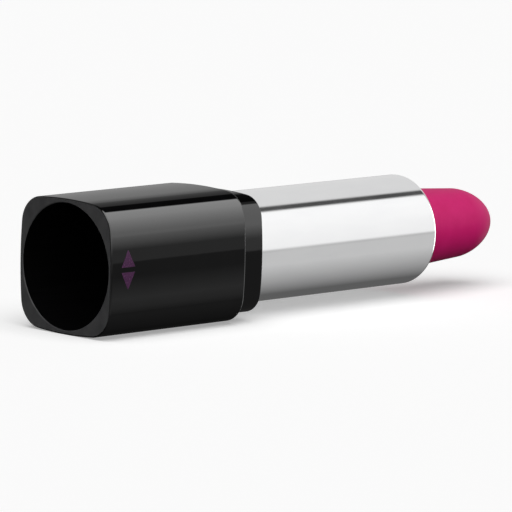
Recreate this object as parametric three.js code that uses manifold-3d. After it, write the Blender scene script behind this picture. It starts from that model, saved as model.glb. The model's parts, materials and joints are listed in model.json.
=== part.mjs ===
// Twist-up lipstick case, lying on one flat of its base with the bullet wound out.
// Millimetres. +X runs along the case, from the open end of the base to the tip of the
// bullet, +Z is up, and the origin is on the ground under the middle of the case.
//
// The base, its collar and the slotted tube are one body. The sleeve and the cam inside
// it turn about the case's axis, and the carrier rides along the slots of the tube,
// driven by its two lugs in the two helical grooves of the cam.
import * as THREE from 'three';
import { mergeVertices } from 'three/addons/utils/BufferGeometryUtils.js';
import Module from 'manifold-3d';

const wasm = await Module();
wasm.setup();

// ---------------------------------------------------------------- driving dimensions

const roundSegments = 48; // around every turned part
const seamGap = 0.05; // between parts that are pressed or glued together
const runningGap = 0.06; // radial, between parts that turn or slide in each other

// base: a lacquered cast shell, a square with round corners and slightly crowned sides
const baseWidth = 19;
const baseLength = 25.6;
const baseCornerRadius = 4.05;
const baseCrownRadius = 40;
const baseFlatWidth = 2.4; // the truly flat middle of each side
const baseEdgeRadius = 0.4;
const recessRadius = 8.9; // the round hollow in the base's open end
const recessDepth = 15;
const recessChamfer = 0.15;
const floorThickness = 1.2; // of the disc that closes the hollow
const socketRadius = 8.3; // narrower bore behind that disc
const weightThickness = 4.6;
const discChamfer = 0.3;

// collar: the step that a cap pushes on to, in one with the plug that holds the mechanism
const collarWidth = 17.25;
const collarLength = 4.05;
const collarCornerRadius = 3.4;
const collarCrownRadius = 32;
const collarFlatWidth = 2.4;
const collarEdgeRadius = 0.2;
const seatDepth = 0.5; // how far the collar is sunk into the base's rear face
const plugBoreRadius = 6.1;

// slotted tube: knob in the plug, shoulder under the cam, and a tube with two slots
const knobRadius = plugBoreRadius - seamGap;
const knobPocketRadius = 4.6; // the knob is cored out, so that its wall is even
const shoulderRadius = 7.58;
const shoulderThickness = 0.9;
const tubeRadius = 7;
const tubeBoreRadius = 6.55;
const tubeFloorThickness = 1.4;
const tubeFootLength = 2.9; // from the shoulder to the top of the tube's floor
const tubeBeadRadius = 7.2;
const tubeBeadLength = 0.8;
const brakeSectionRadius = 0.4;

// sleeve: thin drawn shell with its mouth turned in, over the moulded cam
const sleeveRadius = 8.05;
const sleeveWall = 0.35;
const sleeveEdgeRadius = 0.3;
const mouthX = 65.4; // from the open end of the base
const mouthLipRadius = 7.2;
const camRadius = 7.65;

// carrier: cup with two lugs, and the bullet in it
const bulletRadius = 6;
const bulletMouthRadius = 5.94;
const bulletTipX = 83.7;
const bulletConeLength = 11.4; // from the mouth to where the dome begins
const bulletConeSlope = 0.07;
const bulletDomePower = 1.78;
const cupLength = 9;
const cupFloor = 0.8;
const cupSink = 2; // cup's rim below the mouth
const lugRadius = 0.9;
const lugFromCupFloor = 1.7;
const lugTipRadius = 7.5;

// travel: the cam's pitch, and how far the carrier runs each way from where it is drawn
const pitch = 14.4;
const travelBack = 20.4;
const travelOut = 1.8;
const lugClearance = 0.1;
const grooveStepsPerTurn = 24;

// ---------------------------------------------------------------- places along the case

const ledgeX = recessDepth + floorThickness + seamGap;
const weightX = ledgeX + seamGap;
const plugX = weightX + weightThickness + seamGap;
const seatX = baseLength - seatDepth;
const collarX = seatX + seamGap;
const collarEndX = baseLength + collarLength;
const shoulderX = collarEndX + 0.1;
const sleeveX = collarEndX + 0.15;
const camX = shoulderX + shoulderThickness + 0.1;
const tubeEndX = mouthX - sleeveWall - 0.1;
const camEndX = tubeEndX - tubeBeadLength - 0.1;
const tubeFloorX = shoulderX + shoulderThickness + tubeFootLength;
const brakeX = camX + 1.3;
const cupX = mouthX - cupSink - cupLength;
const lugX = cupX + lugFromCupFloor;

// ---------------------------------------------------------------- shapes

// Points of an arc, both ends included.
function arcPoints(centreX, centreY, radius, from, to, steps) {
  const points = [];
  for (let i = 0; i <= steps; i++) {
    const angle = from + ((to - from) * i) / steps;
    points.push(new THREE.Vector2(centreX + radius * Math.cos(angle), centreY + radius * Math.sin(angle)));
  }
  return points;
}

// Square outline with round corners: each side is flat in the middle and falls away in a
// shallow crown arc that runs tangent into the corner arc.
function crownedSquare(width, cornerRadius, crownRadius, flatWidth) {
  const half = width / 2;
  const flat = flatWidth / 2;
  const inset = crownRadius - half;
  const reach = crownRadius - cornerRadius;
  const b = inset - flat;
  const corner = (Math.sqrt(b * b - 2 * (inset * inset + flat * flat - reach * reach)) - b) / 2;
  const tilt = Math.atan2(corner - flat, corner + inset);
  const side = [
    ...arcPoints(-inset, flat, crownRadius, 0, tilt, 3),
    ...arcPoints(corner, corner, cornerRadius, tilt, Math.PI / 2 - tilt, 8).slice(1),
    ...arcPoints(flat, -inset, crownRadius, Math.PI / 2 - tilt, Math.PI / 2, 3).slice(1),
  ];
  const outline = [];
  for (let quarter = 0; quarter < 4; quarter++) {
    const turn = (quarter * Math.PI) / 2;
    for (const point of side) outline.push(point.clone().rotateAround(new THREE.Vector2(), turn));
  }
  return new THREE.Shape(outline);
}

// Crowned-square bar along +X from 0, with its end edges rounded over.
function squareBar(shape, length, edgeRadius) {
  const geometry = new THREE.ExtrudeGeometry(shape, {
    depth: length - 2 * edgeRadius,
    bevelThickness: edgeRadius,
    bevelSize: edgeRadius,
    bevelOffset: -edgeRadius,
    bevelSegments: 3,
  });
  return geometry.translate(0, 0, edgeRadius).rotateY(Math.PI / 2);
}

// Body of revolution about +X. The profile is a list of [x, radius] that runs round the
// section and starts and ends on the axis, or closes on itself.
function turned(profile) {
  const points = profile.map(([x, radius]) => new THREE.Vector2(radius, x));
  return new THREE.LatheGeometry(points, roundSegments).rotateZ(-Math.PI / 2);
}

// Plain round bar along +X between two places.
function roundBar(from, to, radius) {
  return turned([[from, 0], [from, radius], [to, radius], [to, 0]]);
}

// Ring of rectangular section about +X.
function roundRing(from, to, inner, outer) {
  return turned([[from, inner], [from, outer], [to, outer], [to, inner], [from, inner]]);
}

// Round pin along a radius, at an angle about +X measured from +Y towards +Z.
function radialPin(x, angle, radius, inner, outer) {
  const pin = new THREE.CylinderGeometry(radius, radius, outer - inner, 16);
  return pin.translate(0, (inner + outer) / 2, 0).rotateX(angle).translate(x, 0, 0);
}

// Bar with a rectangular section that follows the cam's helix, for cutting a groove:
// lugAngle is where the lug stands when it is at lugX.
function helicalBar(fromX, toX, lugAngle, axialWidth, inner, outer) {
  const steps = Math.ceil(((toX - fromX) / pitch) * grooveStepsPerTurn);
  const bar = new THREE.BoxGeometry(toX - fromX, axialWidth, outer - inner, steps, 1, 1);
  const position = bar.attributes.position;
  for (let i = 0; i < position.count; i++) {
    const along = (fromX + toX) / 2 + position.getX(i);
    const angle = lugAngle - (2 * Math.PI * (along - lugX)) / pitch;
    const radius = (inner + outer) / 2 + position.getZ(i);
    position.setXYZ(i, along - position.getY(i), radius * Math.cos(angle), radius * Math.sin(angle));
  }
  return bar;
}

// ---------------------------------------------------------------- solids

function solid(geometry) {
  const bare = geometry.clone();
  bare.deleteAttribute('normal');
  bare.deleteAttribute('uv');
  const merged = mergeVertices(bare, 1e-4);
  return new wasm.Manifold(
    new wasm.Mesh({
      numProp: 3,
      vertProperties: new Float32Array(merged.attributes.position.array),
      triVerts: new Uint32Array(merged.index.array),
    }),
  );
}

function geometryOf(manifold) {
  const mesh = manifold.getMesh();
  const geometry = new THREE.BufferGeometry();
  geometry.setAttribute('position', new THREE.BufferAttribute(mesh.vertProperties, 3));
  geometry.setIndex(new THREE.BufferAttribute(mesh.triVerts, 1));
  return geometry;
}

function cut(body, ...tools) {
  return tools.reduce((rest, tool) => rest.subtract(solid(tool)), body);
}

function joined(...geometries) {
  return geometries.map(solid).reduce((whole, next) => whole.add(next));
}

// ---------------------------------------------------------------- pieces

// Outline of the collar, grown all round.
function collarOutline(grow) {
  const corner = collarCornerRadius + grow;
  return crownedSquare(collarWidth + 2 * grow, corner, collarCrownRadius + grow, collarFlatWidth);
}

// Square shell with a bore right through it, wide from the open end to a ledge and then
// narrower, and a shallow square seat for the collar in its rear face.
function baseShell() {
  const outline = crownedSquare(baseWidth, baseCornerRadius, baseCrownRadius, baseFlatWidth);
  const bore = turned([
    [-1, 0],
    [-1, recessRadius + recessChamfer],
    [0, recessRadius + recessChamfer],
    [recessChamfer, recessRadius],
    [ledgeX, recessRadius],
    [ledgeX, socketRadius],
    [baseLength + 1, socketRadius],
    [baseLength + 1, 0],
  ]);
  const seat = new THREE.ExtrudeGeometry(collarOutline(seamGap), { depth: 2 * seatDepth, bevelEnabled: false });
  seat.rotateY(Math.PI / 2).translate(seatX, 0, 0);
  return geometryOf(cut(solid(squareBar(outline, baseLength, baseEdgeRadius)), bore, seat));
}

// Disc from x = 0 with both rims chamfered.
function disc(radius, thickness, chamfer) {
  return turned([
    [0, 0],
    [0, radius - chamfer],
    [chamfer, radius],
    [thickness - chamfer, radius],
    [thickness, radius - chamfer],
    [thickness, 0],
  ]);
}

// The collar's square step and, in one with it, the round plug that fills the base's socket.
function shoulderCollar() {
  const step = squareBar(collarOutline(0), collarEndX - collarX, collarEdgeRadius).translate(collarX, 0, 0);
  const plug = roundBar(plugX, collarX + 1, socketRadius - seamGap);
  const bore = roundBar(plugX - 1, collarEndX + 1, plugBoreRadius);
  return geometryOf(cut(joined(step, plug), bore));
}

function slottedTube() {
  const brakeHalf = brakeSectionRadius + 0.1;
  const body = turned([
    [tubeFloorX - tubeFloorThickness, 0],
    [tubeFloorX - tubeFloorThickness, knobPocketRadius],
    [plugX, knobPocketRadius],
    [plugX, knobRadius],
    [shoulderX, knobRadius],
    [shoulderX, shoulderRadius],
    [shoulderX + shoulderThickness, shoulderRadius],
    [shoulderX + shoulderThickness, tubeRadius],
    [brakeX - brakeHalf, tubeRadius],
    [brakeX - brakeHalf, tubeRadius - brakeSectionRadius],
    [brakeX + brakeHalf, tubeRadius - brakeSectionRadius],
    [brakeX + brakeHalf, tubeRadius],
    [tubeEndX - tubeBeadLength, tubeRadius],
    [tubeEndX - tubeBeadLength * 0.6, tubeBeadRadius],
    [tubeEndX, tubeBeadRadius],
    [tubeEndX, tubeBoreRadius],
    [tubeFloorX, tubeBoreRadius],
    [tubeFloorX, 0],
  ]);
  const width = 2 * (lugRadius + lugClearance);
  const slots = [];
  for (const side of [-1, 1]) {
    const from = lugX - travelBack;
    const to = lugX + travelOut;
    const middle = (side * (tubeBoreRadius + tubeRadius)) / 2;
    slots.push(new THREE.BoxGeometry(to - from, 2, width).translate((from + to) / 2, middle, 0));
    const angle = side > 0 ? 0 : Math.PI;
    for (const end of [from, to]) {
      slots.push(radialPin(end, angle, width / 2, tubeBoreRadius - 1, tubeRadius + 1));
    }
  }
  return geometryOf(cut(solid(body), ...slots));
}

function brakeRing() {
  const section = arcPoints(0, 0, brakeSectionRadius, 0, 2 * Math.PI, 10);
  const centreRadius = tubeRadius + seamGap;
  section[section.length - 1].copy(section[0]);
  return turned(section.map((point) => [point.x, centreRadius + point.y]).reverse());
}

function outerSleeve() {
  const length = mouthX - sleeveX;
  const bore = sleeveRadius - sleeveWall;
  const edge = sleeveEdgeRadius;
  const foot = arcPoints(edge, sleeveRadius - edge, edge, Math.PI, Math.PI / 2, 3);
  const brow = arcPoints(length - edge, sleeveRadius - edge, edge, Math.PI / 2, 0, 4);
  const profile = [
    [0, bore],
    ...foot.map((point) => [point.x, point.y]),
    ...brow.map((point) => [point.x, point.y]),
    [length, mouthLipRadius],
    [length - sleeveWall, mouthLipRadius],
    [length - sleeveWall, bore],
    [0, bore],
  ];
  return turned(profile);
}

function camSleeve() {
  const bore = tubeRadius + runningGap;
  const brakeBore = tubeRadius + seamGap + brakeSectionRadius + runningGap;
  const counterboreEndX = brakeX + brakeSectionRadius + 0.3;
  const body = solid(roundRing(camX, camEndX, bore, camRadius));
  const counterbore = roundBar(camX - 1, counterboreEndX, brakeBore);
  const grooveHalf = lugRadius + lugClearance;
  const helixAngle = Math.atan(pitch / (2 * Math.PI * (bore + camRadius) / 2));
  const grooves = [];
  for (const lugAngle of [0, Math.PI]) {
    const from = lugX - travelBack;
    const to = lugX + travelOut;
    const axialWidth = (2 * grooveHalf) / Math.cos(helixAngle);
    grooves.push(helicalBar(from, to, lugAngle, axialWidth, bore - 0.6, camRadius + 0.6));
    for (const end of [from, to]) {
      const angle = lugAngle - (2 * Math.PI * (end - lugX)) / pitch;
      grooves.push(radialPin(end, angle, grooveHalf, bore - 1, camRadius + 1));
    }
  }
  return geometryOf(cut(body, counterbore, ...grooves));
}

function carrierCup() {
  const outer = tubeBoreRadius - runningGap;
  const inner = bulletRadius + seamGap;
  const cup = turned([
    [cupX, 0],
    [cupX, outer - 0.3],
    [cupX + 0.3, outer],
    [cupX + cupLength, outer],
    [cupX + cupLength, inner],
    [cupX + cupFloor, inner],
    [cupX + cupFloor, 0],
  ]);
  const lugs = [0, Math.PI].map((angle) => radialPin(lugX, angle, lugRadius, inner + 0.2, lugTipRadius));
  return geometryOf(joined(cup, ...lugs));
}

// Straight stem, then a slow cone, then a round dome.
function bullet() {
  const footX = cupX + cupFloor + seamGap;
  const coneX = mouthX - (bulletRadius - bulletMouthRadius) / bulletConeSlope;
  const domeX = mouthX + bulletConeLength;
  const domeLength = bulletTipX - domeX;
  const cone = (x) => bulletMouthRadius - bulletConeSlope * (x - mouthX);
  const profile = [[footX, 0], [footX, bulletRadius - 0.3], [footX + 0.3, bulletRadius], [coneX, bulletRadius]];
  profile.push([domeX, cone(domeX)]);
  const domeSteps = 10;
  for (let i = 1; i <= domeSteps; i++) {
    const share = Math.sin((Math.PI / 2) * (i / domeSteps));
    const x = domeX + domeLength * share;
    const radius = cone(x) * Math.sqrt(1 - share ** bulletDomePower);
    profile.push([x, i === domeSteps ? 0 : radius]);
  }
  return turned(profile);
}

// ---------------------------------------------------------------- assembly

const blackLacquer = { color: 0x0b0b0c, roughness: 0.15, metalness: 0.3 };
const blackPlastic = { color: 0x101012, roughness: 0.2, metalness: 0 };
const mattBlack = { color: 0x0c0c0d, roughness: 0.8, metalness: 0 };
const bareSteel = { color: 0x8d9094, roughness: 0.45, metalness: 1 };
const polishedAluminium = { color: 0xd4d6d9, roughness: 0.06, metalness: 1 };
const mouldedWhite = { color: 0xe6e4df, roughness: 0.45, metalness: 0 };
const siliconeRubber = { color: 0x9aa0a6, roughness: 0.7, metalness: 0 };
const pinkWax = { color: 0xc42a78, roughness: 0.5, metalness: 0 };

function piece(name, geometry, finish, x = 0) {
  const mesh = new THREE.Mesh(geometry, new THREE.MeshStandardMaterial(finish));
  mesh.name = name;
  mesh.position.x = x;
  return mesh;
}

const lipstickCase = new THREE.Group();
lipstickCase.name = 'lipstick_case';
lipstickCase.position.set(-bulletTipX / 2, 0, baseWidth / 2);

const baseBody = new THREE.Group();
baseBody.add(
  piece('base_shell', baseShell(), blackLacquer),
  piece('recess_floor', disc(recessRadius - seamGap, floorThickness, discChamfer), mattBlack, recessDepth),
  piece('base_weight', disc(socketRadius - seamGap, weightThickness, discChamfer), bareSteel, weightX),
  piece('shoulder_collar', shoulderCollar(), blackPlastic),
  piece('slotted_tube', slottedTube(), mouldedWhite),
  piece('brake_ring', brakeRing(), siliconeRubber, brakeX),
);

const sleeveBody = new THREE.Group();
sleeveBody.add(
  piece('outer_sleeve', outerSleeve(), polishedAluminium, sleeveX),
  piece('cam_sleeve', camSleeve(), mouldedWhite),
);

const carrierBody = new THREE.Group();
carrierBody.add(
  piece('carrier_cup', carrierCup(), mouldedWhite),
  piece('bullet', bullet(), pinkWax),
);

lipstickCase.add(baseBody, sleeveBody, carrierBody);

export default lipstickCase;
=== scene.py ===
"""Looks of the twist-up lipstick case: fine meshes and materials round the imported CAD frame.

Lengths along the case are millimetres from the open end of the base, and radii are
millimetres from the case's axis, as on the part's drawing. point() turns them into metres.
"""

import json
import math

import bpy
from mathutils import Matrix, Vector


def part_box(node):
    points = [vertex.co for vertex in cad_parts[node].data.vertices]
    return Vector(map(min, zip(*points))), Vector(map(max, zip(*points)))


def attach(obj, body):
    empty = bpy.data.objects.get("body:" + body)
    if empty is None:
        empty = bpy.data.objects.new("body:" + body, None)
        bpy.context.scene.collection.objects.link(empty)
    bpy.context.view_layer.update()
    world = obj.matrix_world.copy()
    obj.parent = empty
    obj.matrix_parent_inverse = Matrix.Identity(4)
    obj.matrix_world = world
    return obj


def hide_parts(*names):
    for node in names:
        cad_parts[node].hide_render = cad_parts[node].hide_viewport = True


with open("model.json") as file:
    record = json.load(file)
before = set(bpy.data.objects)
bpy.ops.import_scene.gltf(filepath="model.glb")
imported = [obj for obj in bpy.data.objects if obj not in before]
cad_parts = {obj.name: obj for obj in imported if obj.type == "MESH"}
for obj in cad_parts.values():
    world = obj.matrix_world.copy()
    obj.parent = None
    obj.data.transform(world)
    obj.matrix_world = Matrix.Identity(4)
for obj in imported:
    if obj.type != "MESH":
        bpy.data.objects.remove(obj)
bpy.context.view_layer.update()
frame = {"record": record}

MM = 0.001
BASE_LO, BASE_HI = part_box("base_shell")
OPEN_END = BASE_LO.x
AXIS_Z = (BASE_LO.z + BASE_HI.z) / 2
QUARTER = math.pi / 2


def point(x, y, z):
    """The place x mm from the open end, y mm to the left of the axis and z mm above it."""
    return Vector((OPEN_END + x * MM, y * MM, AXIS_Z + z * MM))


def span(node):
    """Where a CAD node begins and ends along the case, in mm from the open end."""
    low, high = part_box(node)
    return (low.x - OPEN_END) / MM, (high.x - OPEN_END) / MM


def half_height(node):
    """Half a CAD node's height, in mm."""
    low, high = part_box(node)
    return (high.z - low.z) / MM / 2


# ------------------------------------------------------------------ dimensions, in mm

BASE_LENGTH = span("base_shell")[1]
BASE_HALF = half_height("base_shell")
BASE_CORNER = 4.05
BASE_CROWN = 64.5  # one arc over the whole side, through the middle and corners of the CAD outline
OPEN_EDGE = 0.2  # rounding of the base's outline at its open end
REAR_EDGE = 0.4
BORE_RADIUS = 8.9
BORE_CHAMFER = 0.1
SOCKET_RADIUS = 8.3
SEAM_GAP = 0.05  # between parts that are pressed or glued together
SMALL_CHAMFER = 0.3  # on turned and moulded rims

DISC_X, DISC_END = span("recess_floor")
DISC_RADIUS = half_height("recess_floor")
DISC_EDGE = 0.25
DISH_DEPTH = 0.35
DISH_RADIUS = DISC_RADIUS - 1.1
DISH_SLOPE = 0.3
GATE_RADIUS = 0.7  # of the scar in the middle of the dish, where the plastic came in
GATE_DEPTH = 0.25
GATE_RING_DEPTH = 0.12  # of the crest of the low ring round the scar
GATE_RING_CREST = GATE_RADIUS + 0.15  # radius of that crest
GATE_RING_FOOT = GATE_RADIUS + 0.4  # and of the ring's foot in the dish
LEDGE_X = DISC_END + SEAM_GAP

WEIGHT_X, WEIGHT_END = span("base_weight")
WEIGHT_RADIUS = half_height("base_weight")
CENTRE_RADIUS = 0.8  # of the lathe's centre hole in each face
CENTRE_DEPTH = 1.2

PLUG_X, COLLAR_END = span("shoulder_collar")
SEAT_DEPTH = 0.5  # of the seat in the base's rear face that takes the collar
SEAT_X = BASE_LENGTH - SEAT_DEPTH
COLLAR_X = SEAT_X + SEAM_GAP
COLLAR_HALF = half_height("shoulder_collar")
COLLAR_CORNER = 3.4
COLLAR_CROWN = 53.0
COLLAR_EDGE = 0.22
PLUG_RADIUS = 8.25
PLUG_BORE = 6.1

TUBE_X, TUBE_END = span("slotted_tube")
TUBE_RADIUS = 7.0
TUBE_BORE = 6.55
KNOB_RADIUS = 6.05
POCKET_RADIUS = 4.6  # the knob is cored out, so that its wall is even
SHOULDER_X = COLLAR_END + 0.1  # just clear of the collar
SHOULDER_WIDTH = 0.9
SHOULDER_END = SHOULDER_X + SHOULDER_WIDTH
SHOULDER_RADIUS = half_height("slotted_tube")
TUBE_FLOOR_X = SHOULDER_END + 2.9  # face of the floor on the bullet's side
TUBE_FLOOR = 1.4  # its thickness
TUBE_FILLET = 0.5
TUBE_EDGE = 0.12
TUBE_CHAMFER = 0.1  # inside its mouth
BEAD_X = TUBE_END - 0.8  # foot of the bead round the tube's mouth
BEAD_RADIUS = 7.2
BEAD_SLOPE = 0.3

BRAKE_X = sum(span("brake_ring")) / 2
BRAKE_SECTION = 0.4  # radius of the ring's own section
BRAKE_GROOVE = BRAKE_SECTION + 0.1  # half the groove's width
BRAKE_BORE = 7.51  # in the cam, over the brake ring
BRAKE_BORE_END = BRAKE_X + BRAKE_SECTION + 0.3

CAM_X, CAM_END = span("cam_sleeve")
CAM_RADIUS = half_height("cam_sleeve")
CAM_BORE = 7.06
CAM_EDGE = 0.12
CAM_FOOT_EDGE = 0.1
GROOVE_STEPS = 160

SLEEVE_X, MOUTH_X = span("outer_sleeve")
SLEEVE_RADIUS = half_height("outer_sleeve")
SLEEVE_WALL = 0.35
SLEEVE_BORE = SLEEVE_RADIUS - SLEEVE_WALL
SLEEVE_EDGE = 0.3
SLEEVE_FOOT_LAND = 0.02  # flat ring inside its rounded foot
MOUTH_ROLL = 0.5  # length over which the sleeve's mouth rolls inwards
LIP_RADIUS = 7.2
LIP_EDGE = 0.12
LIP_FILLET = 0.2

CUP_X, CUP_END = span("carrier_cup")
CUP_RADIUS = 6.49
CUP_BORE = 6.05
CUP_FLOOR = 0.8
CUP_EDGE = 0.08
LUG_X = CUP_X + 1.7
LUG_RADIUS = 0.9
LUG_ROOT = 6.25
LUG_TIP = 7.5
LUG_EDGE = 0.15
SLOT_HALF = 1.0  # half the width of the slots and grooves that the lugs run in

BEHAVIOUR = frame["record"]["behaviour"]
TRAVEL_JOINT = next(j for j in BEHAVIOUR["joints"] if j["name"] == "bullet_travel")
TRAVEL = [end / MM for end in TRAVEL_JOINT["range_m"]]  # of the lugs, back and out
PITCH = 2 * math.pi * BEHAVIOUR["couplings"][0]["ratio"] / MM  # of the cam, in mm a turn

BULLET_X, TIP_X = span("bullet")
BULLET_RADIUS = 6.0
MOUTH_BULLET_RADIUS = 5.94
CONE_LENGTH = 11.4
CONE_SLOPE = 0.07
DOME_POWER = 1.78
CONE_BLEND = 1.0  # how far to each side of the stem's end its first cone points lie

MARK_X = 3.15  # middle of the printed marks, from the open end
MARK_WIDTH = 2.5
MARK_HEIGHT = 2.35
MARK_GAP = 0.7  # between the feet of the two marks
MARK_Z = 0.4  # height of the middle of that gap above the axis
MARK_TIP = 0.04  # share of a mark's width that is left at its tip

ROUND_STEPS = 256
SIDE_STEPS = 16  # along a crowned side
CORNER_STEPS = 20
EDGE_STEPS = 6  # in the quarter turn of a rounded edge
RING_STEPS = 24  # round the brake ring's section
SLOT_END_STEPS = 10  # in each quarter turn of a slot's round ends
SHARP_DEGREES = 30  # faces that meet at more than this have a hard edge


# ------------------------------------------------------------------ mesh building


def arc(centre_x, centre_y, radius, start, end, steps):
    """Points of an arc, both ends included."""
    turns = [start + (end - start) * i / steps for i in range(steps + 1)]
    return [(centre_x + radius * math.cos(t), centre_y + radius * math.sin(t)) for t in turns]


def crowned_square(half, corner, crown, inset=0.0):
    """Outline of a square whose sides bulge in one arc each and run tangent into its corners."""
    half, corner, crown = half - inset, corner - inset, crown - inset
    set_back = crown - half
    centre = (math.sqrt(2 * (crown - corner) ** 2 - set_back**2) - set_back) / 2
    tilt = math.atan2(centre, centre + set_back)
    side = arc(-set_back, 0, crown, -tilt, tilt, SIDE_STEPS)
    side += arc(centre, centre, corner, tilt, QUARTER - tilt, CORNER_STEPS)[1:-1]
    outline = []
    for quarter in range(4):
        c, s = round(math.cos(quarter * QUARTER)), round(math.sin(quarter * QUARTER))
        outline += [(c * y - s * z, s * y + c * z) for y, z in side]
    return outline


def circle(radius, steps=ROUND_STEPS):
    """Points evenly round a circle."""
    return arc(0, 0, radius, 0, 2 * math.pi, steps)[:-1]


def circle_like(outline, radius):
    """Points round a circle, each in the same direction from the axis as the outline's."""
    return [(radius * y / math.hypot(y, z), radius * z / math.hypot(y, z)) for y, z in outline]


def shade(mesh):
    """Smooth shading with hard edges where faces meet at more than SHARP_DEGREES."""
    mesh.polygons.foreach_set("use_smooth", [True] * len(mesh.polygons))
    mesh.set_sharp_from_angle(angle=math.radians(SHARP_DEGREES))


def mesh_object(name, vertices, faces, slots=None):
    """A shaded object made of these vertices and faces."""
    mesh = bpy.data.meshes.new(name)
    mesh.from_pydata(vertices, [], faces)
    mesh.validate()
    if slots:
        mesh.polygons.foreach_set("material_index", slots)
    shade(mesh)
    made = bpy.data.objects.new(name, mesh)
    bpy.context.scene.collection.objects.link(made)
    return made


def loft(name, rings, strip_slots=None, closed=False):
    """Skin over rings of points given as (x, [(y, z), ...]). A ring of one point ends the skin
    in a fan. A closed loft runs from its last ring back to its first, so it has no ends.
    strip_slots gives the material slot of each strip between two rings."""
    vertices, starts = [], []
    for x, ring in rings:
        starts.append(len(vertices))
        vertices += [point(x, y, z) for y, z in ring]
    faces, slots = [], []
    pairs = [(i, i + 1) for i in range(len(rings) - 1)]
    if closed:
        pairs.append((len(rings) - 1, 0))
    for strip, (a, b) in enumerate(pairs):
        count = max(len(rings[a][1]), len(rings[b][1]))
        for i in range(count):
            j = (i + 1) % count
            face = [starts[a] + i, starts[a] + j, starts[b] + j, starts[b] + i]
            if len(rings[a][1]) == 1:
                face = [starts[a], starts[b] + j, starts[b] + i]
            elif len(rings[b][1]) == 1:
                face = [starts[a] + i, starts[a] + j, starts[b]]
            faces.append(face)
            slots.append(strip_slots[strip] if strip_slots else 0)
    return mesh_object(name, vertices, faces, slots)


def turned(name, profile, closed=False):
    """Body of revolution about the case's axis. The profile lists (x, radius), and goes round
    the section so that the solid is on its right with x to the right and radius up."""
    rings = [(x, circle(r) if r > 0 else [(0.0, 0.0)]) for x, r in profile]
    return loft(name, rings, closed=closed)


def rounding(x, radius, length, depth, steps=EDGE_STEPS):
    """Profile points (x, radius) of a rounded outer edge, in the direction of growing x. It is
    depth deep in radius, and runs back from x by length, or on from x if length is negative."""
    turns = [QUARTER * i / steps for i in range(steps + 1)]
    points = [(x - length * (1 - math.sin(t)), radius - depth * (1 - math.cos(t))) for t in turns]
    return points if length > 0 else points[::-1]


def cut(body, tool, operation="DIFFERENCE"):
    """Cuts the tool out of the body, or joins it on by a UNION. The tool is used up."""
    modifier = body.modifiers.new("cut", "BOOLEAN")
    modifier.operation = operation
    modifier.solver = "EXACT"
    modifier.object = tool
    evaluated = body.evaluated_get(bpy.context.evaluated_depsgraph_get())
    mesh = bpy.data.meshes.new_from_object(evaluated)
    body.modifiers.clear()
    body.data = mesh
    bpy.data.objects.remove(tool)
    shade(mesh)


def slot_tool(angle, turn, inner, outer, steps):
    """Tool that cuts a slot with round ends through a tube's wall, for a lug that stands at
    LUG_X and at this angle from the left towards the top. The slot turns by turn over the travel."""
    middle = (inner + outer) / 2
    run = TRAVEL[1] - TRAVEL[0]
    length = math.hypot(run, middle * turn)
    along, across = run / length, middle * turn / length
    start_share = 0.2  # of a step, so that the slot doesn't begin at a point
    ends = [QUARTER * (i + start_share) / SLOT_END_STEPS for i in range(SLOT_END_STEPS)]
    stations = [(-SLOT_HALF * math.cos(t), SLOT_HALF * math.sin(t)) for t in ends]
    stations += [(length * i / steps, SLOT_HALF) for i in range(steps + 1)]
    stations += [(length + SLOT_HALF * math.cos(t), SLOT_HALF * math.sin(t)) for t in reversed(ends)]
    start_x = LUG_X + TRAVEL[0]
    start_angle = angle + turn * TRAVEL[0] / run
    vertices = []
    for distance, half in stations:
        for side, radius in ((-1, inner), (1, inner), (1, outer), (-1, outer)):
            x = start_x + distance * along - side * half * across
            at = start_angle + (distance * across + side * half * along) / middle
            vertices.append(point(x, radius * math.cos(at), radius * math.sin(at)))
    last = len(vertices) - 4
    faces = [[0, 1, 2, 3], [last + 3, last + 2, last + 1, last]]
    for corner in range(4):
        beside = (corner + 1) % 4
        faces += [[a + 4 + corner, a + 4 + beside, a + beside, a + corner] for a in range(0, last, 4)]
    return mesh_object("slot_tool", vertices, faces)


def dress(piece, *materials):
    """Gives the piece these materials, one to each slot."""
    slots = piece.data.materials
    for index, material in enumerate(materials):
        if index < len(slots):
            slots[index] = material
        else:
            slots.append(material)
    return piece


def fit(piece, body, slot, *nodes):
    """piece rides on a body and stands for some CAD nodes, which it hides. slot is not used."""
    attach(piece, body)
    if nodes:
        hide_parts(*nodes)
    return piece


# ------------------------------------------------------------------ materials


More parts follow.
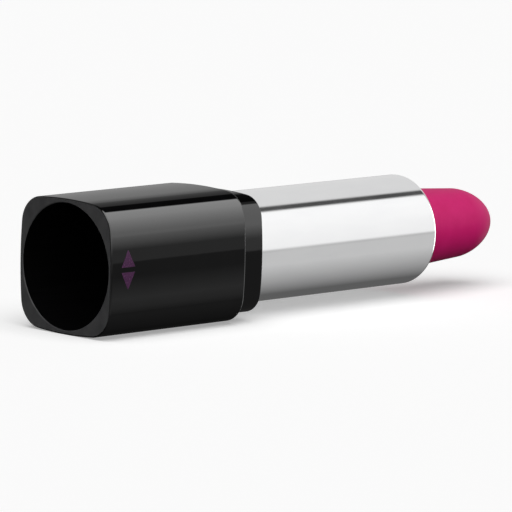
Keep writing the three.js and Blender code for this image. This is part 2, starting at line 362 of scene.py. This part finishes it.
class Look:
    """A material on one Principled shader, with short calls for the textures that drive it."""

    def __init__(self, name, colour, roughness, metallic=0.0, ior=1.45):
        self.material = bpy.data.materials.new(name)
        self.material.use_nodes = True
        self.tree = self.material.node_tree
        self.shader = self.tree.nodes["Principled BSDF"]
        self.set("Base Color", (*colour, 1))
        self.set("Roughness", roughness)
        self.set("Metallic", metallic)
        self.set("IOR", ior)
        self.coordinates = self.tree.nodes.new("ShaderNodeTexCoord").outputs["Object"]

    def set(self, socket, value):
        """Sets one of the shader's own sockets."""
        self.shader.inputs[socket].default_value = value

    def add(self, kind, **inputs):
        """A new node, with its inputs set or linked by name."""
        node = self.tree.nodes.new(kind)
        for name, value in inputs.items():
            self.feed(node.inputs[name.replace("_", " ")], value)
        return node

    def feed(self, socket, value):
        """Links an output to a socket, or sets the socket to a value."""
        if isinstance(value, bpy.types.NodeSocket):
            self.tree.links.new(value, socket)
        else:
            socket.default_value = value

    def per_mm(self, x=1.0, y=1.0, z=1.0):
        """Coordinates that count millimetres from the open end and the axis, times these factors."""
        centred = self.add("ShaderNodeMapping", Vector=self.coordinates, Location=(-OPEN_END, 0, -AXIS_Z))
        scaled = self.add("ShaderNodeMapping", Vector=centred.outputs[0])
        scaled.inputs["Scale"].default_value = (x / MM, y / MM, z / MM)
        return scaled.outputs[0]

    def noise(self, vector, scale, detail):
        """Smooth noise from 0 to 1."""
        return self.add("ShaderNodeTexNoise", Vector=vector, Scale=scale, Detail=detail).outputs["Fac"]

    def spread(self, value, low, high, from_low=0.3, from_high=0.7):
        """A value in the usual range of a noise, brought to low to high."""
        ends = {"From Min": from_low, "From Max": from_high, "To Min": low, "To Max": high}
        return self.add("ShaderNodeMapRange", Value=value, **ends).outputs["Result"]

    def tint(self, value, dark, light):
        """A colour between dark and light, chosen by a value from 0 to 1."""
        node = self.tree.nodes.new("ShaderNodeMix")
        node.data_type = "RGBA"
        factor, first, second = (node.inputs[i] for i in (0, 6, 7))  # for colours
        mixed = node.outputs[2]
        self.feed(factor, self.spread(value, 0, 1))
        first.default_value = (*dark, 1)
        second.default_value = (*light, 1)
        self.feed(self.shader.inputs["Base Color"], mixed)

    def relief(self, *layers):
        """Bumps, each a (height, depth in mm), one on top of the other."""
        normal = None
        for height, depth in layers:
            bump = self.add("ShaderNodeBump", Height=height, Distance=depth * MM, Strength=1.0)
            if normal:
                self.feed(bump.inputs["Normal"], normal)
            normal = bump.outputs["Normal"]
        self.feed(self.shader.inputs["Normal"], normal)


def black_lacquer():
    """Sprayed and polished black lacquer: almost mirror smooth, with a faint orange peel."""
    look = Look("black_lacquer", (0.001, 0.001, 0.0011), 0.03, ior=1.9)
    swirl = look.noise(look.per_mm(), 0.35, 4)
    dust = look.noise(look.per_mm(), 9, 2)
    look.tint(swirl, (0.0006, 0.0006, 0.0007), (0.0016, 0.0016, 0.0018))
    look.feed(look.shader.inputs["Roughness"], look.spread(swirl, 0.015, 0.035))
    peel = look.noise(look.per_mm(), 1.1, 1)
    look.relief((peel, 0.0004), (dust, 0.00004))
    return look.material


def satin_rim():
    """Bare satin black of the base's end face and chamfer, with fine moulding grain."""
    look = Look("satin_rim", (0.07, 0.07, 0.072), 0.4, ior=1.42)
    grain = look.noise(look.per_mm(), 14, 3)
    cloud = look.noise(look.per_mm(), 0.5, 3)
    look.tint(cloud, (0.058, 0.058, 0.06), (0.082, 0.082, 0.084))
    look.feed(look.shader.inputs["Roughness"], look.spread(grain, 0.36, 0.46))
    look.relief((grain, 0.0012))
    return look.material


def bore_painted_shade():
    """Near black inside the base's hollow, with faint lines along it: painted shade of the deep recess,
    far darker than the same bare plastic on the rim.
    """
    look = Look("bore_painted_shade", (0.0013, 0.0013, 0.0014), 0.8, ior=1.12)
    lines = look.noise(look.per_mm(0.08, 3, 3), 1, 2)
    grain = look.noise(look.per_mm(), 10, 2)
    look.tint(lines, (0.0008, 0.0008, 0.0009), (0.002, 0.002, 0.0022))
    look.feed(look.shader.inputs["Roughness"], look.spread(grain, 0.75, 0.9))
    look.relief((lines, 0.002), (grain, 0.001))
    return look.material


def black_plastic():
    """Injection-moulded gloss black of the collar."""
    look = Look("black_plastic", (0.001, 0.001, 0.0011), 0.05, ior=1.9)
    flow = look.noise(look.per_mm(0.3, 1, 1), 0.6, 3)
    look.tint(flow, (0.0006, 0.0006, 0.0007), (0.0018, 0.0018, 0.002))
    look.feed(look.shader.inputs["Roughness"], look.spread(flow, 0.035, 0.06))
    look.relief((look.noise(look.per_mm(), 2, 2), 0.0003))
    return look.material


def polished_aluminium():
    """Bright-anodised drawn aluminium: mirror polish over faint draw lines along the sleeve."""
    look = Look("polished_aluminium", (0.93, 0.932, 0.938), 0.07, metallic=1.0)
    draw_lines = look.noise(look.per_mm(0.02, 6, 6), 1, 4)
    haze = look.noise(look.per_mm(0.3, 1, 1), 0.5, 4)
    look.tint(haze, (0.915, 0.917, 0.925), (0.945, 0.947, 0.95))
    look.feed(look.shader.inputs["Roughness"], look.spread(haze, 0.06, 0.1))
    look.relief((draw_lines, 0.0002), (haze, 0.0006))
    return look.material


def moulded_white():
    """Natural acetal of the mechanism: off-white, waxy and slightly see-through at the skin."""
    look = Look("moulded_white", (0.8, 0.79, 0.75), 0.4)
    look.set("Subsurface Weight", 0.15)
    look.set("Subsurface Radius", (0.8, 0.7, 0.6))
    look.set("Subsurface Scale", 0.6 * MM)
    cloud = look.noise(look.per_mm(), 0.7, 3)
    grain = look.noise(look.per_mm(), 12, 2)
    look.tint(cloud, (0.77, 0.76, 0.72), (0.83, 0.82, 0.79))
    look.feed(look.shader.inputs["Roughness"], look.spread(grain, 0.34, 0.46))
    look.relief((grain, 0.0008))
    return look.material


def bullet_wax():
    """Lipstick wax: satin magenta with a soft skin, flecks of pigment and faint mould ripples."""
    look = Look("bullet_wax", (0.78, 0.013, 0.19), 0.45, ior=1.25)
    look.set("Subsurface Weight", 0.08)
    look.set("Subsurface Radius", (1.0, 0.25, 0.4))
    look.set("Subsurface Scale", 0.4 * MM)
    look.set("Sheen Weight", 0.03)
    look.set("Sheen Roughness", 0.3)
    look.set("Sheen Tint", (1.0, 0.6, 0.75, 1))
    cloud = look.noise(look.per_mm(), 0.5, 3)
    fleck = look.noise(look.per_mm(), 16, 2)
    ripple = look.noise(look.per_mm(1.6, 0.15, 0.15), 1, 2)
    look.tint(cloud, (0.76, 0.011, 0.18), (0.8, 0.015, 0.2))
    look.feed(look.shader.inputs["Roughness"], look.spread(fleck, 0.4, 0.52))
    look.relief((ripple, 0.003), (fleck, 0.0012))
    return look.material


def turned_steel():
    """Bare steel of the weight, with the rings that a parting tool leaves on its faces."""
    look = Look("turned_steel", (0.42, 0.43, 0.45), 0.35, metallic=1.0)
    rings = look.add("ShaderNodeTexWave", Vector=look.per_mm(0, 1, 1), Scale=1.4, Distortion=0.4)
    rings.wave_type = "RINGS"
    rings.rings_direction = "X"
    cloud = look.noise(look.per_mm(), 0.6, 4)
    look.tint(cloud, (0.36, 0.37, 0.39), (0.47, 0.48, 0.5))
    look.feed(look.shader.inputs["Roughness"], look.spread(cloud, 0.28, 0.42))
    look.relief((rings.outputs["Fac"], 0.004))
    return look.material


def silicone():
    """Grey silicone of the brake ring, with a film of grease."""
    look = Look("silicone", (0.35, 0.37, 0.4), 0.5)
    look.set("Coat Weight", 0.4)
    look.set("Coat Roughness", 0.2)
    grain = look.noise(look.per_mm(), 8, 3)
    look.tint(grain, (0.3, 0.32, 0.35), (0.4, 0.42, 0.45))
    look.feed(look.shader.inputs["Roughness"], look.spread(grain, 0.42, 0.6))
    look.relief((grain, 0.002))
    return look.material


def purple_ink():
    """Pad-printed purple ink, thin enough to look dim over black."""
    look = Look("purple_ink", (0.07, 0.02, 0.068), 0.22)
    mottle = look.noise(look.per_mm(), 4, 4)
    look.tint(mottle, (0.055, 0.016, 0.053), (0.085, 0.025, 0.082))
    look.feed(look.shader.inputs["Roughness"], look.spread(mottle, 0.18, 0.3))
    look.relief((mottle, 0.001))
    return look.material


# ------------------------------------------------------------------ pieces


def square_rings(half, corner, crown, low, high, low_edge, high_edge, clear=0.06):
    """Rings (x, outline) of a crowned-square bar with rounded ends, from its low face's border to
    its high face's. Rings just inside each border and each rounding keep flat faces flat."""

    def at(x, inset):
        return (x, crowned_square(half, corner, crown, inset))

    turns = [QUARTER * i / EDGE_STEPS for i in range(EDGE_STEPS + 1)]
    rings = [at(low, low_edge + clear)]
    for turn in reversed(turns):
        rings.append(at(low + low_edge * (1 - math.sin(turn)), low_edge * (1 - math.cos(turn))))
    rings += [at(low + low_edge + clear, 0), at(high - high_edge - clear, 0)]
    for turn in turns:
        rings.append(at(high - high_edge * (1 - math.sin(turn)), high_edge * (1 - math.cos(turn))))
    rings.append(at(high, high_edge + clear))
    return rings


def build_base(lacquer, rim, bore):
    """The base shell: lacquered outside, satin on its end face, and near black in the hollow as painted
    shade.
    """
    outside = square_rings(BASE_HALF, BASE_CORNER, BASE_CROWN, 0, BASE_LENGTH, OPEN_EDGE, REAR_EDGE)
    like = outside[0][1]
    rings = [(BORE_CHAMFER, circle_like(like, BORE_RADIUS))]
    rings.append((0, circle_like(like, BORE_RADIUS + BORE_CHAMFER)))
    rings += outside
    seat = crowned_square(COLLAR_HALF, COLLAR_CORNER, COLLAR_CROWN, -SEAM_GAP)
    rings += [(BASE_LENGTH, seat), (SEAT_X, seat)]
    rings.append((SEAT_X, circle_like(like, SOCKET_RADIUS)))
    rings.append((LEDGE_X, circle_like(like, SOCKET_RADIUS)))
    rings.append((LEDGE_X, circle_like(like, BORE_RADIUS)))
    rim_strips, bore_strips = 3, 2
    slots = [1] * rim_strips + [0] * (len(rings) - rim_strips - bore_strips) + [2] * bore_strips
    base = loft("base_case", rings, slots, closed=True)
    return dress(base, lacquer, rim, bore)


def build_recess_disc(bore):
    """The disc at the bottom of the hollow, with a shallow dish and the scar of its gate. It wears the
    hollow's near-black painted shade.
    """
    scar_x, dish_x = DISC_X + GATE_DEPTH, DISC_X + DISH_DEPTH
    profile = [(scar_x, 0), (scar_x, GATE_RADIUS), (DISC_X + GATE_RING_DEPTH, GATE_RING_CREST)]
    profile += [(dish_x, GATE_RING_FOOT), (dish_x, DISH_RADIUS - DISH_SLOPE)]
    profile += [(DISC_X, DISH_RADIUS), (DISC_X, DISC_RADIUS - DISC_EDGE)]
    profile += [(DISC_X + DISC_EDGE, DISC_RADIUS), (DISC_END - DISC_EDGE, DISC_RADIUS)]
    profile += [(DISC_END, DISC_RADIUS - DISC_EDGE), (DISC_END, 0)]
    return dress(turned("recess_disc", profile), bore)


def build_collar(plastic):
    """The collar and its plug, in one."""
    step = square_rings(
        COLLAR_HALF, COLLAR_CORNER, COLLAR_CROWN, COLLAR_X, COLLAR_END, COLLAR_EDGE, COLLAR_EDGE
    )
    flange = step[len(step) // 2 - 1 :]  # its foot is hidden in the seat, so it stays square
    like = flange[0][1]
    bore, plug = circle_like(like, PLUG_BORE), circle_like(like, PLUG_RADIUS)
    rings = [(PLUG_X, bore), (PLUG_X, circle_like(like, PLUG_RADIUS - SMALL_CHAMFER))]
    rings += [(PLUG_X + SMALL_CHAMFER, plug), (COLLAR_X, plug)]
    rings.append((COLLAR_X, crowned_square(COLLAR_HALF, COLLAR_CORNER, COLLAR_CROWN)))
    rings += flange
    rings.append((COLLAR_END, bore))
    return dress(loft("collar", rings, closed=True), plastic)


def build_weight(steel):
    """The weight: a turned disc with rounded rims and a centre hole in each face."""
    profile = [(WEIGHT_X + CENTRE_DEPTH, 0), (WEIGHT_X, CENTRE_RADIUS)]
    profile += rounding(WEIGHT_X, WEIGHT_RADIUS, -SMALL_CHAMFER, SMALL_CHAMFER)
    profile += rounding(WEIGHT_END, WEIGHT_RADIUS, SMALL_CHAMFER, SMALL_CHAMFER)
    profile += [(WEIGHT_END, CENTRE_RADIUS), (WEIGHT_END - CENTRE_DEPTH, 0)]
    return dress(turned("weight_disc", profile), steel)


def build_tube(white):
    """The inner body: cored knob, shoulder, brake groove, and a tube with two straight slots."""
    knob_floor_x = TUBE_FLOOR_X - TUBE_FLOOR
    groove_radius = TUBE_RADIUS - BRAKE_SECTION
    profile = [(knob_floor_x, 0), (knob_floor_x, POCKET_RADIUS), (TUBE_X, POCKET_RADIUS)]
    profile += rounding(TUBE_X, KNOB_RADIUS, -SMALL_CHAMFER, SMALL_CHAMFER)
    profile.append((SHOULDER_X, KNOB_RADIUS))
    profile += rounding(SHOULDER_X, SHOULDER_RADIUS, -TUBE_EDGE, TUBE_EDGE)
    profile += rounding(SHOULDER_END, SHOULDER_RADIUS, TUBE_EDGE, TUBE_EDGE)
    profile += [(SHOULDER_END, TUBE_RADIUS), (BRAKE_X - BRAKE_GROOVE, TUBE_RADIUS)]
    profile += [(BRAKE_X - BRAKE_GROOVE, groove_radius), (BRAKE_X + BRAKE_GROOVE, groove_radius)]
    profile += [(BRAKE_X + BRAKE_GROOVE, TUBE_RADIUS), (BEAD_X, TUBE_RADIUS)]
    profile.append((BEAD_X + BEAD_SLOPE, BEAD_RADIUS))
    profile += rounding(TUBE_END, BEAD_RADIUS, TUBE_EDGE, TUBE_EDGE)
    profile += [(TUBE_END, TUBE_BORE + TUBE_CHAMFER), (TUBE_END - TUBE_CHAMFER, TUBE_BORE)]
    fillet_x, fillet_radius = TUBE_FLOOR_X + TUBE_FILLET, TUBE_BORE - TUBE_FILLET
    profile += arc(fillet_x, fillet_radius, TUBE_FILLET, QUARTER, math.pi, EDGE_STEPS)
    profile.append((TUBE_FLOOR_X, 0))
    tube = turned("inner_tube", profile)
    reach = 1.0  # of the tool past each face of the wall
    for angle in (0, math.pi):
        cut(tube, slot_tool(angle, 0, TUBE_BORE - reach, TUBE_RADIUS + reach, 1))
    return dress(tube, white)


def build_brake(rubber):
    """The brake ring, round in section."""
    section = arc(BRAKE_X, TUBE_RADIUS + SEAM_GAP, BRAKE_SECTION, 2 * math.pi, 0, RING_STEPS)[:-1]
    return dress(turned("brake_band", section, closed=True), rubber)


def build_cam(white):
    """The cam: a thin tube with two helical grooves right through its wall."""
    profile = [(CAM_X, BRAKE_BORE)]
    profile += rounding(CAM_X, CAM_RADIUS, -CAM_FOOT_EDGE, CAM_FOOT_EDGE)
    profile += rounding(CAM_END, CAM_RADIUS, CAM_EDGE, CAM_EDGE)
    profile += [(CAM_END, CAM_BORE + CAM_EDGE), (CAM_END - CAM_EDGE, CAM_BORE)]
    profile += [(BRAKE_BORE_END, CAM_BORE), (BRAKE_BORE_END, BRAKE_BORE)]
    cam = turned("cam", profile, closed=True)
    turn = -2 * math.pi * (TRAVEL[1] - TRAVEL[0]) / PITCH
    reach = 0.6  # of the tool past each face of the wall
    for angle in (0, math.pi):
        cut(cam, slot_tool(angle, turn, CAM_BORE - reach, CAM_RADIUS + reach, GROOVE_STEPS))
    return dress(cam, white)


def lug_pin(way, steps=48):
    """A round pin out of the cup's wall, to the left for way 1 and to the right for -1."""
    profile = [(LUG_ROOT, LUG_RADIUS)] + rounding(LUG_TIP, LUG_RADIUS, LUG_EDGE, LUG_EDGE)
    vertices = []
    for reach, radius in profile:
        vertices += [point(LUG_X + x, way * reach, way * z) for x, z in circle(radius, steps)]
    last = len(vertices) - steps
    faces = [list(range(steps)), [last + i for i in reversed(range(steps))]]
    for start in range(0, last, steps):
        for i in range(steps):
            j = (i + 1) % steps
            faces.append([start + steps + i, start + steps + j, start + j, start + i])
    return mesh_object("lug_pin", vertices, faces)


def build_cup(white):
    """The cup that holds the bullet, with a lug on each side."""
    profile = [(CUP_X, 0)]
    profile += rounding(CUP_X, CUP_RADIUS, -SMALL_CHAMFER, SMALL_CHAMFER)
    profile += rounding(CUP_END, CUP_RADIUS, CUP_EDGE, CUP_EDGE)
    profile += [(CUP_END, CUP_BORE + CUP_EDGE), (CUP_END - CUP_EDGE, CUP_BORE)]
    profile += [(CUP_X + CUP_FLOOR, CUP_BORE), (CUP_X + CUP_FLOOR, 0)]
    cup = turned("cup", profile)
    for way in (1, -1):
        cut(cup, lug_pin(way), "UNION")
    return dress(cup, white)


def build_sleeve(metal):
    """The polished sleeve, with a rounded foot and its mouth rolled in to a lip."""
    clear = 0.05
    lip_x = MOUTH_X - SLEEVE_WALL
    profile = [(SLEEVE_X, SLEEVE_BORE + SLEEVE_FOOT_LAND)]
    profile += rounding(SLEEVE_X, SLEEVE_RADIUS, -SLEEVE_EDGE, SLEEVE_EDGE)
    profile.append((SLEEVE_X + SLEEVE_EDGE + clear, SLEEVE_RADIUS))
    profile.append((MOUTH_X - MOUTH_ROLL - clear, SLEEVE_RADIUS))
    profile += rounding(MOUTH_X, SLEEVE_RADIUS, MOUTH_ROLL, SLEEVE_EDGE, steps=16)
    profile += [(MOUTH_X, LIP_RADIUS + LIP_EDGE), (MOUTH_X - LIP_EDGE, LIP_RADIUS)]
    profile += [(lip_x, LIP_RADIUS), (lip_x, SLEEVE_BORE - LIP_FILLET)]
    profile += [(lip_x - LIP_FILLET, SLEEVE_BORE), (SLEEVE_X, SLEEVE_BORE)]
    return dress(turned("sleeve", profile, closed=True), metal)


def bullet_radius(x):
    """Radius of the bullet: a straight stem, a slow cone and a round dome."""
    cone = min(BULLET_RADIUS, MOUTH_BULLET_RADIUS - CONE_SLOPE * (x - MOUTH_X))
    dome = (x - MOUTH_X - CONE_LENGTH) / (TIP_X - MOUTH_X - CONE_LENGTH)
    return cone * math.sqrt(max(0.0, 1 - max(0.0, dome) ** DOME_POWER))


def build_bullet(wax):
    """The bullet, with a rounded foot and a smooth dome."""
    dome_x = MOUTH_X + CONE_LENGTH
    cone_x = MOUTH_X - (BULLET_RADIUS - MOUTH_BULLET_RADIUS) / CONE_SLOPE
    profile = [(BULLET_X, 0), (BULLET_X, BULLET_RADIUS - SMALL_CHAMFER)]
    profile.append((BULLET_X + SMALL_CHAMFER, BULLET_RADIUS))
    cone_steps, dome_steps = 12, 64
    places = [cone_x - CONE_BLEND, cone_x, cone_x + CONE_BLEND]
    places += [MOUTH_X + CONE_LENGTH * i / cone_steps for i in range(1, cone_steps)]
    turns = [QUARTER * i / dome_steps for i in range(dome_steps)]
    places += [dome_x + (TIP_X - dome_x) * math.sin(turn) for turn in turns]
    profile += [(x, bullet_radius(x)) for x in places]
    profile.append((TIP_X, 0))
    return dress(turned("bullet_wax_piece", profile), wax)


def build_marks(ink):
    """Two printed triangles, back to back, lying on the crown of the base's right side."""
    marks = []
    for name, way in (("direction_mark_up", 1), ("direction_mark_down", -1)):
        foot = MARK_Z + way * MARK_GAP / 2
        marks.append(dress(printed_triangle(name, foot, way), ink))
    return marks


def printed_triangle(name, foot, way, rows=24, film=0.02, sunk=0.02):
    """A thin triangle of ink from height foot, pointing up for way 1 and down for -1."""
    vertices, faces = [], []
    for layer in (film, -sunk):
        for row in range(rows + 1):
            share = row / rows
            height = foot + way * MARK_HEIGHT * share
            surface = BASE_CROWN - BASE_HALF - math.sqrt(BASE_CROWN**2 - height**2) - layer
            reach = MARK_WIDTH / 2 * (1 - (1 - MARK_TIP) * share)
            vertices += [point(MARK_X + side * reach, surface, height) for side in (-1, 1)]
    back = 2 * (rows + 1)
    for row in range(rows):
        a = 2 * row
        front = [a, a + 1, a + 3, a + 2]
        faces.append(front)
        faces.append([back + i for i in reversed(front)])
        faces.append([a, a + 2, back + a + 2, back + a])
        faces.append([a + 1, back + a + 1, back + a + 3, a + 3])
    faces.append([0, back, back + 1, 1])
    faces.append([2 * rows, 2 * rows + 1, back + 2 * rows + 1, back + 2 * rows])
    if way < 0:
        faces = [face[::-1] for face in faces]
    return mesh_object(name, vertices, faces)


# ------------------------------------------------------------------ stage

# The camera's angles are in degrees and its lengths in mm.
CAMERA_AZIMUTH = -43.9
CAMERA_ELEVATION = 8.0
CAMERA_ROLL = 1.0
CAMERA_DISTANCE = 712
CAMERA_AIM = 29.6  # point of the axis that the view turns round, from the open end
CAMERA_RIGHT = 5.0  # how far the camera stands to the right of that line of sight
CAMERA_DOWN = 1.0
CAMERA_LENS = 352


def build_camera():
    """A long lens a little above the case, half way from its right side to its open end."""
    azimuth, elevation, roll = map(math.radians, (CAMERA_AZIMUTH, CAMERA_ELEVATION, CAMERA_ROLL))
    flat = math.cos(elevation)
    back = Vector((math.sin(azimuth) * flat, -math.cos(azimuth) * flat, math.sin(elevation)))
    level = Vector((math.cos(azimuth), math.sin(azimuth), 0))
    upright = back.cross(level)
    right = level * math.cos(roll) + upright * math.sin(roll)
    up = upright * math.cos(roll) - level * math.sin(roll)
    camera = bpy.data.objects.new("camera", bpy.data.cameras.new("camera"))
    bpy.context.scene.collection.objects.link(camera)
    camera.data.lens = CAMERA_LENS
    away = back * CAMERA_DISTANCE + right * CAMERA_RIGHT - up * CAMERA_DOWN
    place = point(CAMERA_AIM, 0, 0) + away * MM
    camera.matrix_world = Matrix.Translation(place) @ Matrix((right, up, back)).transposed().to_4x4()
    bpy.context.scene.camera = camera


def build_floor():
    """A wide pale sweep to lie on. Mirrors on the case see the studio in its place."""
    reach = 6.0  # metres from the middle to each side
    corners = [(-reach, -reach, 0), (reach, -reach, 0), (reach, reach, 0), (-reach, reach, 0)]
    floor = mesh_object("floor", corners, [(0, 1, 2, 3)])
    look = Look("pale_floor", (0.9, 0.9, 0.9), 0.9)
    look.set("Specular IOR Level", 0.0)
    look.set("Emission Color", (1.0, 1.0, 1.0, 1))
    look.set("Emission Strength", 0.35)
    dress(floor, look.material)
    floor.visible_glossy = False
    floor.visible_diffuse = False
    return floor


# The room that a mirror lying along the case sees, in degrees about the case's axis: 0 is level
# and to the case's right, 90 straight up, 180 level and to its left, and -90 straight down.
UNDER_LEFT, UNDER_RIGHT = -150, -115  # ends of the dimmest stretch, under the table
TABLE_LIT = -35  # from here up the table is evenly lit
STRIP = -18  # middle of a low strip light on the right, below the table's edge
STRIP_SPREAD = 6
EDGE_SPREAD = 0.3  # over which the wall takes over from the table
KEY_FOOT = -5  # where the tall soft box on the right begins to glow
KEY_RISEN = -0.5  # where it has the radiance of its lower end
KEY_BRIGHTEST = 60  # from here up it has the radiance of its upper end
SOFT_SPREAD = 5  # over which one part of the room fades into the next
WINDOW = 164  # sill of the window on the left


def room(under, table, edge, wall, key, key_head, top, top_end, left, window, strip=None):
    """The radiance round a room, as stops (angle, radiance): dim under the table, the table up to
    its edge, a wall, the soft box from its foot to its head, the top up to its end, the left side
    and a window. key gives the soft box's radiance at its lower and upper ends."""
    key_low, key_high = key
    return [
        (-180, window / 2), (UNDER_LEFT, under), (UNDER_RIGHT, under), (TABLE_LIT, table),
        (STRIP - STRIP_SPREAD, table), (STRIP, strip or table), (STRIP + STRIP_SPREAD, table),
        (edge, table), (edge + EDGE_SPREAD, wall), (KEY_FOOT, wall), (KEY_RISEN, key_low),
        (KEY_BRIGHTEST, key_high), (key_head, key_high), (key_head + SOFT_SPREAD, top),
        (top_end, top), (top_end + SOFT_SPREAD, left), (WINDOW - SOFT_SPREAD, left),
        (WINDOW, window), (180, window),
    ]


METAL_STUDIO = room(
    under=0.1, table=0.55, edge=-8, wall=0.5, key=(0.9, 1.0), key_head=77, top=0.06, top_end=90,
    left=0.7, window=0.7,
)
BLACK_STUDIO = room(
    under=0.01, table=0.07, edge=-8.4, wall=0.17, key=(0.9, 1.8), key_head=88, top=0, top_end=122,
    left=0.12, window=0.35, strip=0.18,
)
COLLAR_STUDIO = room(
    under=0.04, table=0.07, edge=-9.2, wall=0.25, key=(0.9, 0.95), key_head=75, top=0.1, top_end=90,
    left=0, window=0.35,
)
WAX_STUDIO = room(
    under=0.03, table=0.05, edge=-8, wall=0.3, key=(1.0, 1.1), key_head=65, top=0.5, top_end=110,
    left=0.4, window=0.25,
)
STUDIO_RADIUS = 3.0  # metres, like the sizes of the lights
STUDIO_HALF_LENGTH = 6.0


def linked_light(name, kind, receivers, place):
    """A light that faces down its own -Z and lights only these pieces."""
    light = bpy.data.lights.new(name, kind)
    holder = bpy.data.objects.new(name, light)
    bpy.context.scene.collection.objects.link(holder)
    holder.matrix_world = place
    holder.light_linking.receiver_collection = receivers
    holder.visible_camera = False
    return light


def panel(name, receivers, place, width, length, radiance=1.0):
    """A rectangular soft box."""
    light = linked_light(name, "AREA", receivers, place)
    light.shape = "RECTANGLE"
    light.size, light.size_y = width, length
    light.energy = math.pi * width * length * radiance
    return light


def group(name, pieces):
    """A collection of pieces for lights to be linked to."""
    collection = bpy.data.collections.new(name)
    for piece in pieces:
        collection.objects.link(piece)
    return collection


def paint_bands(light, stops):
    """Makes a soft box's radiance follow the angle about the case's axis, from stop to stop."""
    light.use_nodes = True
    nodes, links = light.node_tree.nodes, light.node_tree.links

    def add(kind, operation=None, inputs=()):
        node = nodes.new(kind)
        if operation:
            node.operation = operation
        for socket, value in zip(node.inputs, inputs):
            if isinstance(value, bpy.types.NodeSocket):
                links.new(value, socket)
            else:
                socket.default_value = value
        return node.outputs[0]

    spot = nodes.new("ShaderNodeSeparateXYZ")
    links.new(add("ShaderNodeNewGeometry"), spot.inputs[0])
    height = add("ShaderNodeMath", "SUBTRACT", (spot.outputs["Z"], AXIS_Z))
    right = add("ShaderNodeMath", "MULTIPLY", (spot.outputs["Y"], -1))
    angle = add("ShaderNodeMath", "ARCTAN2", (height, right))
    radiance = stops[0][1]
    for (start, low), (end, high) in zip(stops, stops[1:]):
        if low != high:
            rise = (angle, math.radians(start), math.radians(end), 0, high - low)
            radiance = add("ShaderNodeMath", "ADD", (add("ShaderNodeMapRange", None, rise), radiance))
    links.new(radiance, nodes["Emission"].inputs["Strength"])


def build_studio(name, receivers, stops, back, front, banded_ends=False):
    """A long square room of light round the case that only these pieces see. Its walls carry
    the bands. back and front are the radiance of its ends, behind the open end and in front
    of the bullet, which are plain, or have the bands multiplied on to them."""
    centre = Matrix.Translation((0, 0, AXIS_Z))
    width = 2 * STUDIO_RADIUS
    for side in range(4):
        out = Matrix.Translation((0, 0, STUDIO_RADIUS)) @ Matrix.Rotation(QUARTER, 4, "Z")
        place = centre @ Matrix.Rotation(side * QUARTER, 4, "X") @ out
        wall = panel(f"{name}_wall_{side}", receivers, place, width, 2 * STUDIO_HALF_LENGTH)
        paint_bands(wall, stops)
    for way, radiance in ((-1, back), (1, front)):
        turn = Matrix.Rotation(way * QUARTER, 4, "Y")
        out = Matrix.Translation((way * STUDIO_HALF_LENGTH, 0, 0)) @ turn
        end = panel(f"{name}_end_{way}", receivers, centre @ out, width, width, radiance)
        if banded_ends:
            paint_bands(end, stops)


def build_mouth_strip(receivers):
    """A tall strip beside the front end of the room, for a bright line along the sleeve's mouth."""
    width, radiance, gap = 1.8, 2.6, 0.1
    right = -STUDIO_RADIUS + width / 2
    turn = Matrix.Rotation(QUARTER, 4, "Y")
    place = Matrix.Translation((STUDIO_HALF_LENGTH - gap, right, AXIS_Z)) @ turn
    panel("mouth_strip", receivers, place, 2 * STUDIO_RADIUS, width, radiance)


def build_sun(floor):
    """A broad sun that only the floor takes, so that the case casts a faint soft shadow."""
    toward = Vector((-0.25, -0.3, 1.0))  # from the case to the sun
    place = toward.to_track_quat("Z", "Y").to_matrix().to_4x4()
    sun = linked_light("sun", "SUN", group("floor_only", [floor]), place)
    sun.angle = math.radians(70)
    sun.energy = 2.25


def build_world():
    """Next to no light from outside the soft boxes."""
    world = bpy.data.worlds.new("studio")
    bpy.context.scene.world = world
    world.use_nodes = True
    world.node_tree.nodes["Background"].inputs["Color"].default_value = (0.01, 0.01, 0.01, 1)


def main():
    # bore is the near-black painted shade of the base's hollow and of the disc at its bottom.
    lacquer, rim, bore = black_lacquer(), satin_rim(), bore_painted_shade()
    plastic, metal, white = black_plastic(), polished_aluminium(), moulded_white()
    blacks = [
        fit(build_base(lacquer, rim, bore), "base", "base_lacquer", "base_shell"),
        # The recess disc takes the hollow's near-black painted shade, in the slot named matt_black.
        fit(build_recess_disc(bore), "base", "matt_black", "recess_floor"),
    ]
    blacks += [fit(mark, "base", "base_lacquer") for mark in build_marks(purple_ink())]
    collar = fit(build_collar(plastic), "base", "collar_plastic", "shoulder_collar")
    brights = [fit(build_sleeve(metal), "sleeve", "polished_sleeve", "outer_sleeve")]
    bullet = fit(build_bullet(bullet_wax()), "carrier", "bullet_wax", "bullet")
    brights.append(fit(build_tube(white), "base", "moulded_white", "slotted_tube"))
    brights.append(fit(build_cam(white), "sleeve", "moulded_white", "cam_sleeve"))
    brights.append(fit(build_cup(white), "carrier", "moulded_white", "carrier_cup"))
    brights.append(fit(build_weight(turned_steel()), "base", "weight_steel", "base_weight"))
    brights.append(fit(build_brake(silicone()), "base", "silicone", "brake_ring"))
    build_camera()
    build_world()
    build_sun(build_floor())
    bright_pieces = group("bright_pieces", brights)
    build_studio("metal", bright_pieces, METAL_STUDIO, back=0.9, front=1.05, banded_ends=True)
    build_mouth_strip(bright_pieces)
    build_studio("black", group("black_pieces", blacks), BLACK_STUDIO, back=0.12, front=0.6)
    build_studio("collar", group("collar_pieces", [collar]), COLLAR_STUDIO, back=0.12, front=0.6)
    build_studio("wax", group("wax_pieces", [bullet]), WAX_STUDIO, back=0.5, front=0.6)
    bpy.context.scene.view_settings.view_transform = "Standard"


main()
